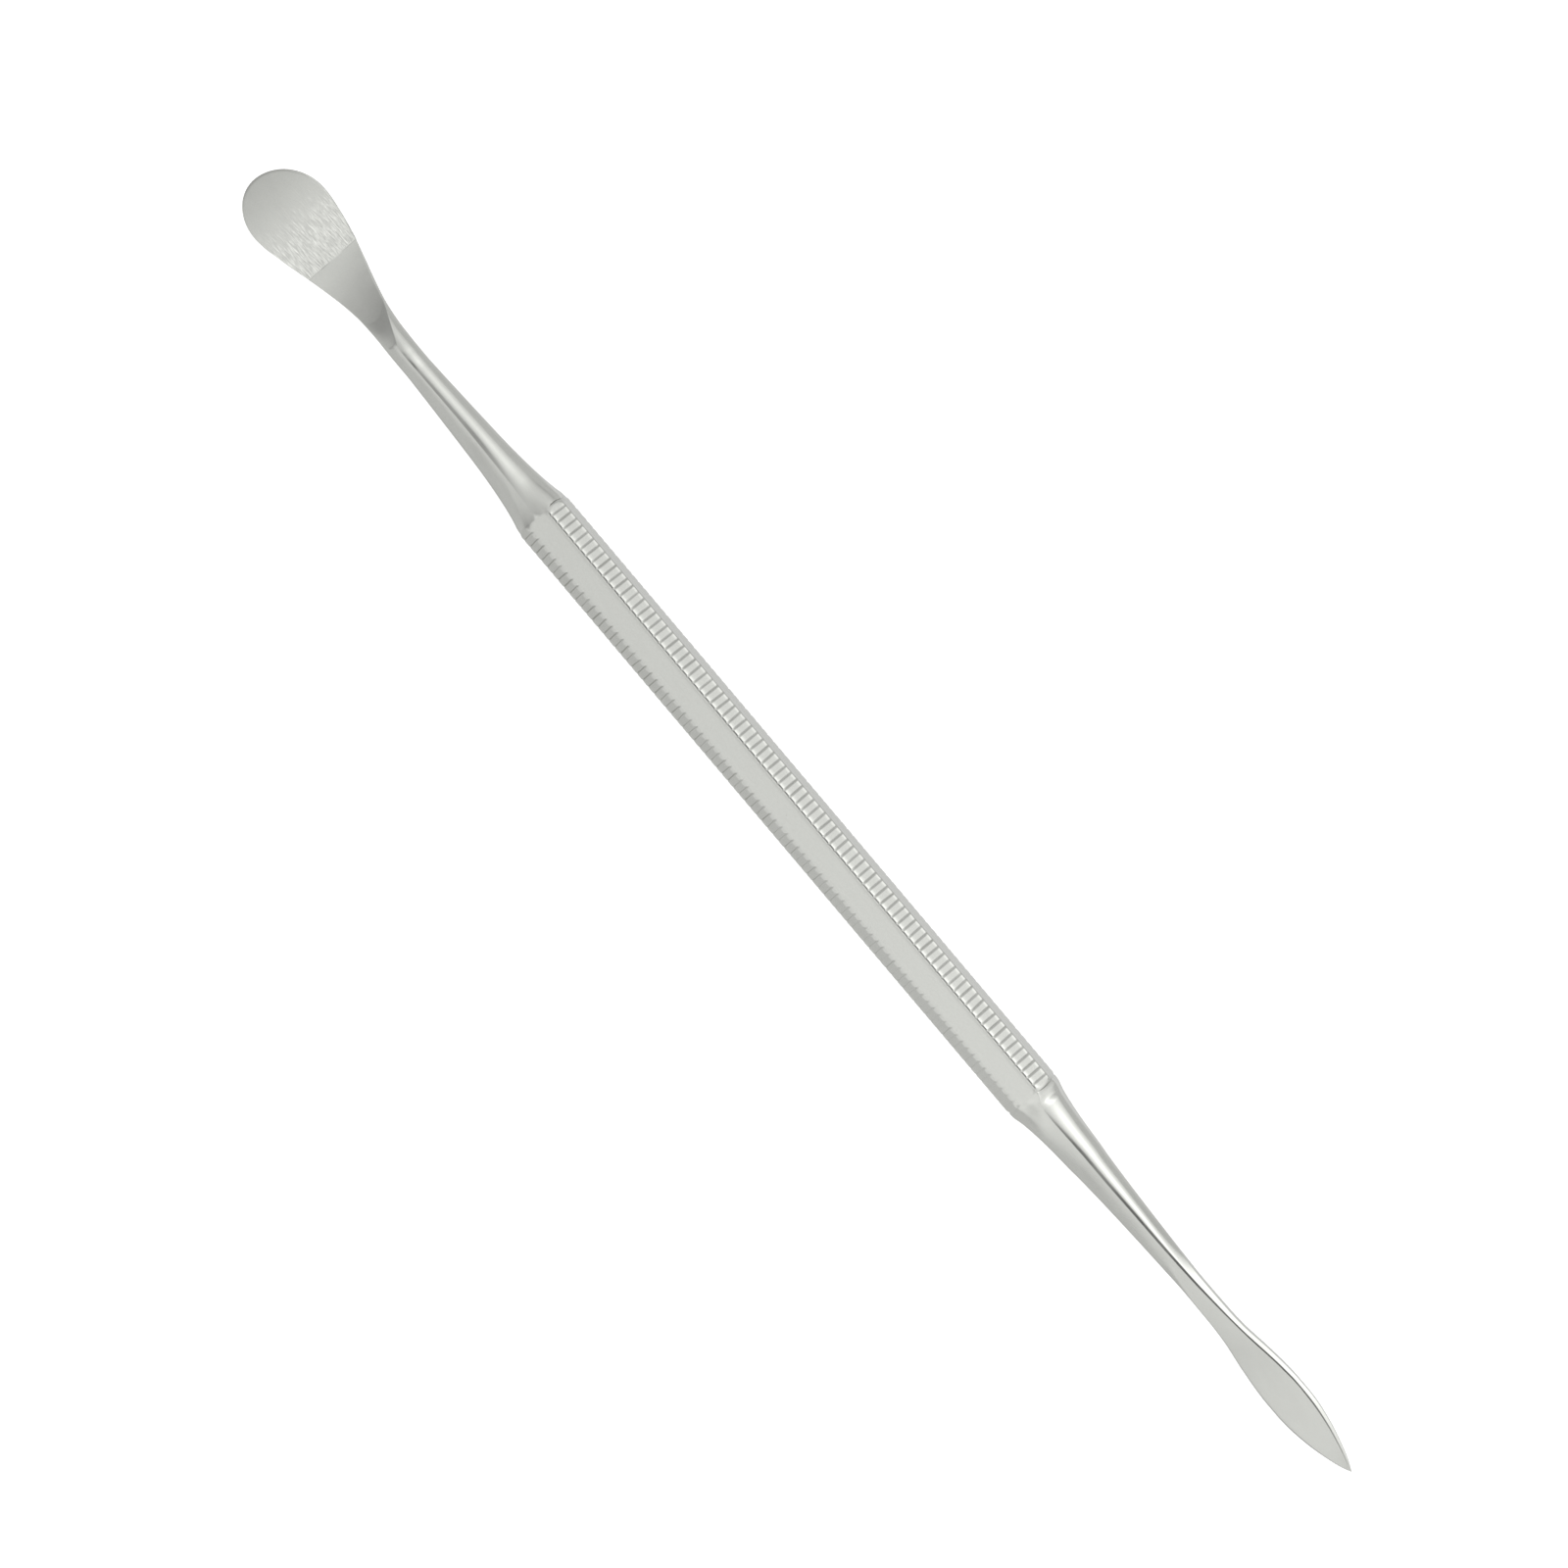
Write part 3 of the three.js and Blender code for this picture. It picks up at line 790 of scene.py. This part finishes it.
LENGTHWISE_LEFT = [
    (-90, 0.5), (-44, 0.48), (-34, 0.58), (-24, 0.85), (-18, 0.97), (-12, 1.06), (-6, 1.08),
    (0, 1.03), (5, 0.98), (14, 0.95), (40, 0.85), (90, 0.6),
]
LENGTHWISE_RIGHT = [
    (-90, 1.2), (-60, 0.95), (-40, 0.72), (-28, 0.7), (-18, 0.73), (-13, 0.8), (-8, 0.91),
    (0, 1.0), (5, 1.03), (12, 1.05), (25, 1.0), (40, 0.9), (60, 1.0), (90, 1.2),
]

# How dark the reflection of the camera and the person behind it is, in the same degrees.
DARK_ROUND = [(-19, 0), (-12, 0.96), (0, 0.96), (8, 0)]
DARK_LENGTHWISE = [(-14, 0), (-5, 1), (12, 1), (20, 0)]

# A soft box beside the camera: its middle and spread round the tool, and its brightness.
BOX_TURN = math.radians(35)
BOX_SPREAD = math.radians(11)
BOX_GAIN = 0.9


def studio():
    world = bpy.data.worlds.new("studio")
    bpy.context.scene.world = world
    world.use_nodes = True
    tree = world.node_tree
    tree.nodes.clear()
    ray = node(tree, "ShaderNodeTexCoord").outputs["Generated"]

    def towards(direction):
        return by_vector(tree, "DOT_PRODUCT", ray, direction).outputs["Value"]

    turn = calc(tree, "ARCTAN2", towards(ACROSS), towards(TO_CAMERA))
    round_place = calc(tree, "MULTIPLY_ADD", turn, 1 / (2 * math.pi), 0.5)
    lean = calc(tree, "ARCSINE", towards(ALONG))
    lean_place = calc(tree, "MULTIPLY_ADD", lean, 1 / math.pi, 0.5)

    def by_turn(stops):
        return ramp(tree, round_place, [(a / 360 + 0.5, v) for a, v in stops], RAMP_TOP)

    def by_lean(stops):
        return ramp(tree, lean_place, [(a / 180 + 0.5, v) for a, v in stops], RAMP_TOP)

    def rising(value, low, high):
        """0 to 1 as an angle goes from low to high degrees."""
        return remap(tree, value, math.radians(low), math.radians(high))

    def mixed(a, b, share):
        return calc(tree, "MULTIPLY_ADD", calc(tree, "SUBTRACT", b, a), share, a)

    along = mixed(by_lean(LENGTHWISE), by_lean(LENGTHWISE_LEFT), rising(turn, -90, -106))
    along = mixed(along, by_lean(LENGTHWISE_RIGHT), rising(turn, -10, 14))
    value = calc(tree, "MULTIPLY", by_turn(ROUND), along)
    off_turn = calc(tree, "DIVIDE", calc(tree, "SUBTRACT", turn, BOX_TURN), BOX_SPREAD)
    squared = calc(tree, "MULTIPLY", off_turn, off_turn)
    lobe = calc(tree, "EXPONENT", calc(tree, "MULTIPLY", squared, -0.5))
    spread = calc(tree, "MULTIPLY", rising(lean, -16, 12), rising(lean, 25, 6))
    value = calc(tree, "MULTIPLY_ADD", calc(tree, "MULTIPLY", lobe, spread), BOX_GAIN, value)
    dark = calc(tree, "MULTIPLY", by_turn(DARK_ROUND), by_lean(DARK_LENGTHWISE))
    value = calc(tree, "MULTIPLY", value, calc(tree, "SUBTRACT", 1.0, dark))
    light = node(tree, "ShaderNodeBackground", {"Color": value, "Strength": 1.0})
    node(tree, "ShaderNodeOutputWorld", {"Surface": light.outputs[0]})


def floor():
    """White paper that the camera sees lit, and that the steel reflects as a soft glow."""
    size = 3.0
    z = -0.02 * MM  # a hair under the tool, so that the two surfaces don't share a plane
    mesh = bpy.data.meshes.new("floor")
    mesh.from_pydata(
        [(-size, -size, z), (size, -size, z), (size, size, z), (-size, size, z)], [], [(0, 1, 2, 3)])
    made = bpy.data.objects.new("floor", mesh)
    bpy.context.scene.collection.objects.link(made)
    material = bpy.data.materials.new("white_paper")
    material.use_nodes = True
    tree = material.node_tree
    tree.nodes.clear()
    seen = node(tree, "ShaderNodeLightPath").outputs["Is Camera Ray"]
    place = node(tree, "ShaderNodeNewGeometry").outputs["Position"]
    x, y, _ = node(tree, "ShaderNodeSeparateXYZ", {0: place}).outputs
    beside = remap(tree, calc(tree, "ABSOLUTE", y), 2.5 * MM, 6 * MM, 0.78, 0.7)
    beyond = remap(tree, calc(tree, "ABSOLUTE", x), 68 * MM, 72 * MM, 1.0, 0.5)
    glow = calc(tree, "MULTIPLY", beside, beyond)
    reflected = node(tree, "ShaderNodeEmission", {"Strength": glow})
    paper = node(tree, "ShaderNodeBsdfDiffuse", {"Color": (0.9, 0.9, 0.9, 1)})
    lift = node(tree, "ShaderNodeEmission", {"Strength": 0.55})
    shown = node(tree, "ShaderNodeAddShader", {0: paper.outputs[0], 1: lift.outputs[0]})
    mix = node(tree, "ShaderNodeMixShader", {0: seen, 1: reflected.outputs[0], 2: shown.outputs[0]})
    node(tree, "ShaderNodeOutputMaterial", {"Surface": mix.outputs[0]})
    mesh.materials.append(material)
    return made


# ---- Camera ----

# The point that the camera looks at, the width that it sees there, and how far it is rolled,
# which puts the tool on the photo's diagonal.
IMAGE_CENTRE = Vector((-1.51, 0.886, 2.195)) * MM
IMAGE_SPAN = 134.05 * MM
LENS = 200
SENSOR = 36
ROLL = math.radians(49.79)


def camera():
    right = math.cos(ROLL) * ALONG + math.sin(ROLL) * ACROSS
    up = TO_CAMERA.cross(right)
    distance = IMAGE_SPAN * LENS / SENSOR
    data = bpy.data.cameras.new("camera")
    data.lens = LENS
    data.sensor_width = SENSOR
    data.clip_start = 0.01
    made = bpy.data.objects.new("camera", data)
    bpy.context.scene.collection.objects.link(made)
    axes = Matrix((right, up, TO_CAMERA)).transposed().to_4x4()
    made.matrix_world = Matrix.Translation(IMAGE_CENTRE + distance * TO_CAMERA) @ axes
    bpy.context.scene.camera = made


# ---- Build ----

handle = handle_mesh()
spoon = spoon_mesh()
lancet = lancet_mesh()

# Painted light along the tool: the handle's colour gets lighter towards the lancet end.
handle.data.materials.append(steel("satin_steel", 0.22, specks=0.25, painted_light_slope=0.0012))
spoon.data.materials.append(steel("spoon_steel", 0.22, streaks=True))
# Painted shade: the lancet's colour gets darker towards its tip.
lancet.data.materials.append(steel("lancet_steel", 0.2, specks=0.3, painted_light_slope=-0.0025, about=45.0))

for piece, cad_node, slot in [
    (handle, "ribbed_handle", "handle_steel"),
    (spoon, "spoon_pusher", "spoon_steel"),
    (lancet, "lancet_scraper", "lancet_steel"),
]:
    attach(piece, "root")
    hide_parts(cad_node)

floor()
studio()
camera()
bpy.context.scene.view_settings.view_transform = "Standard"
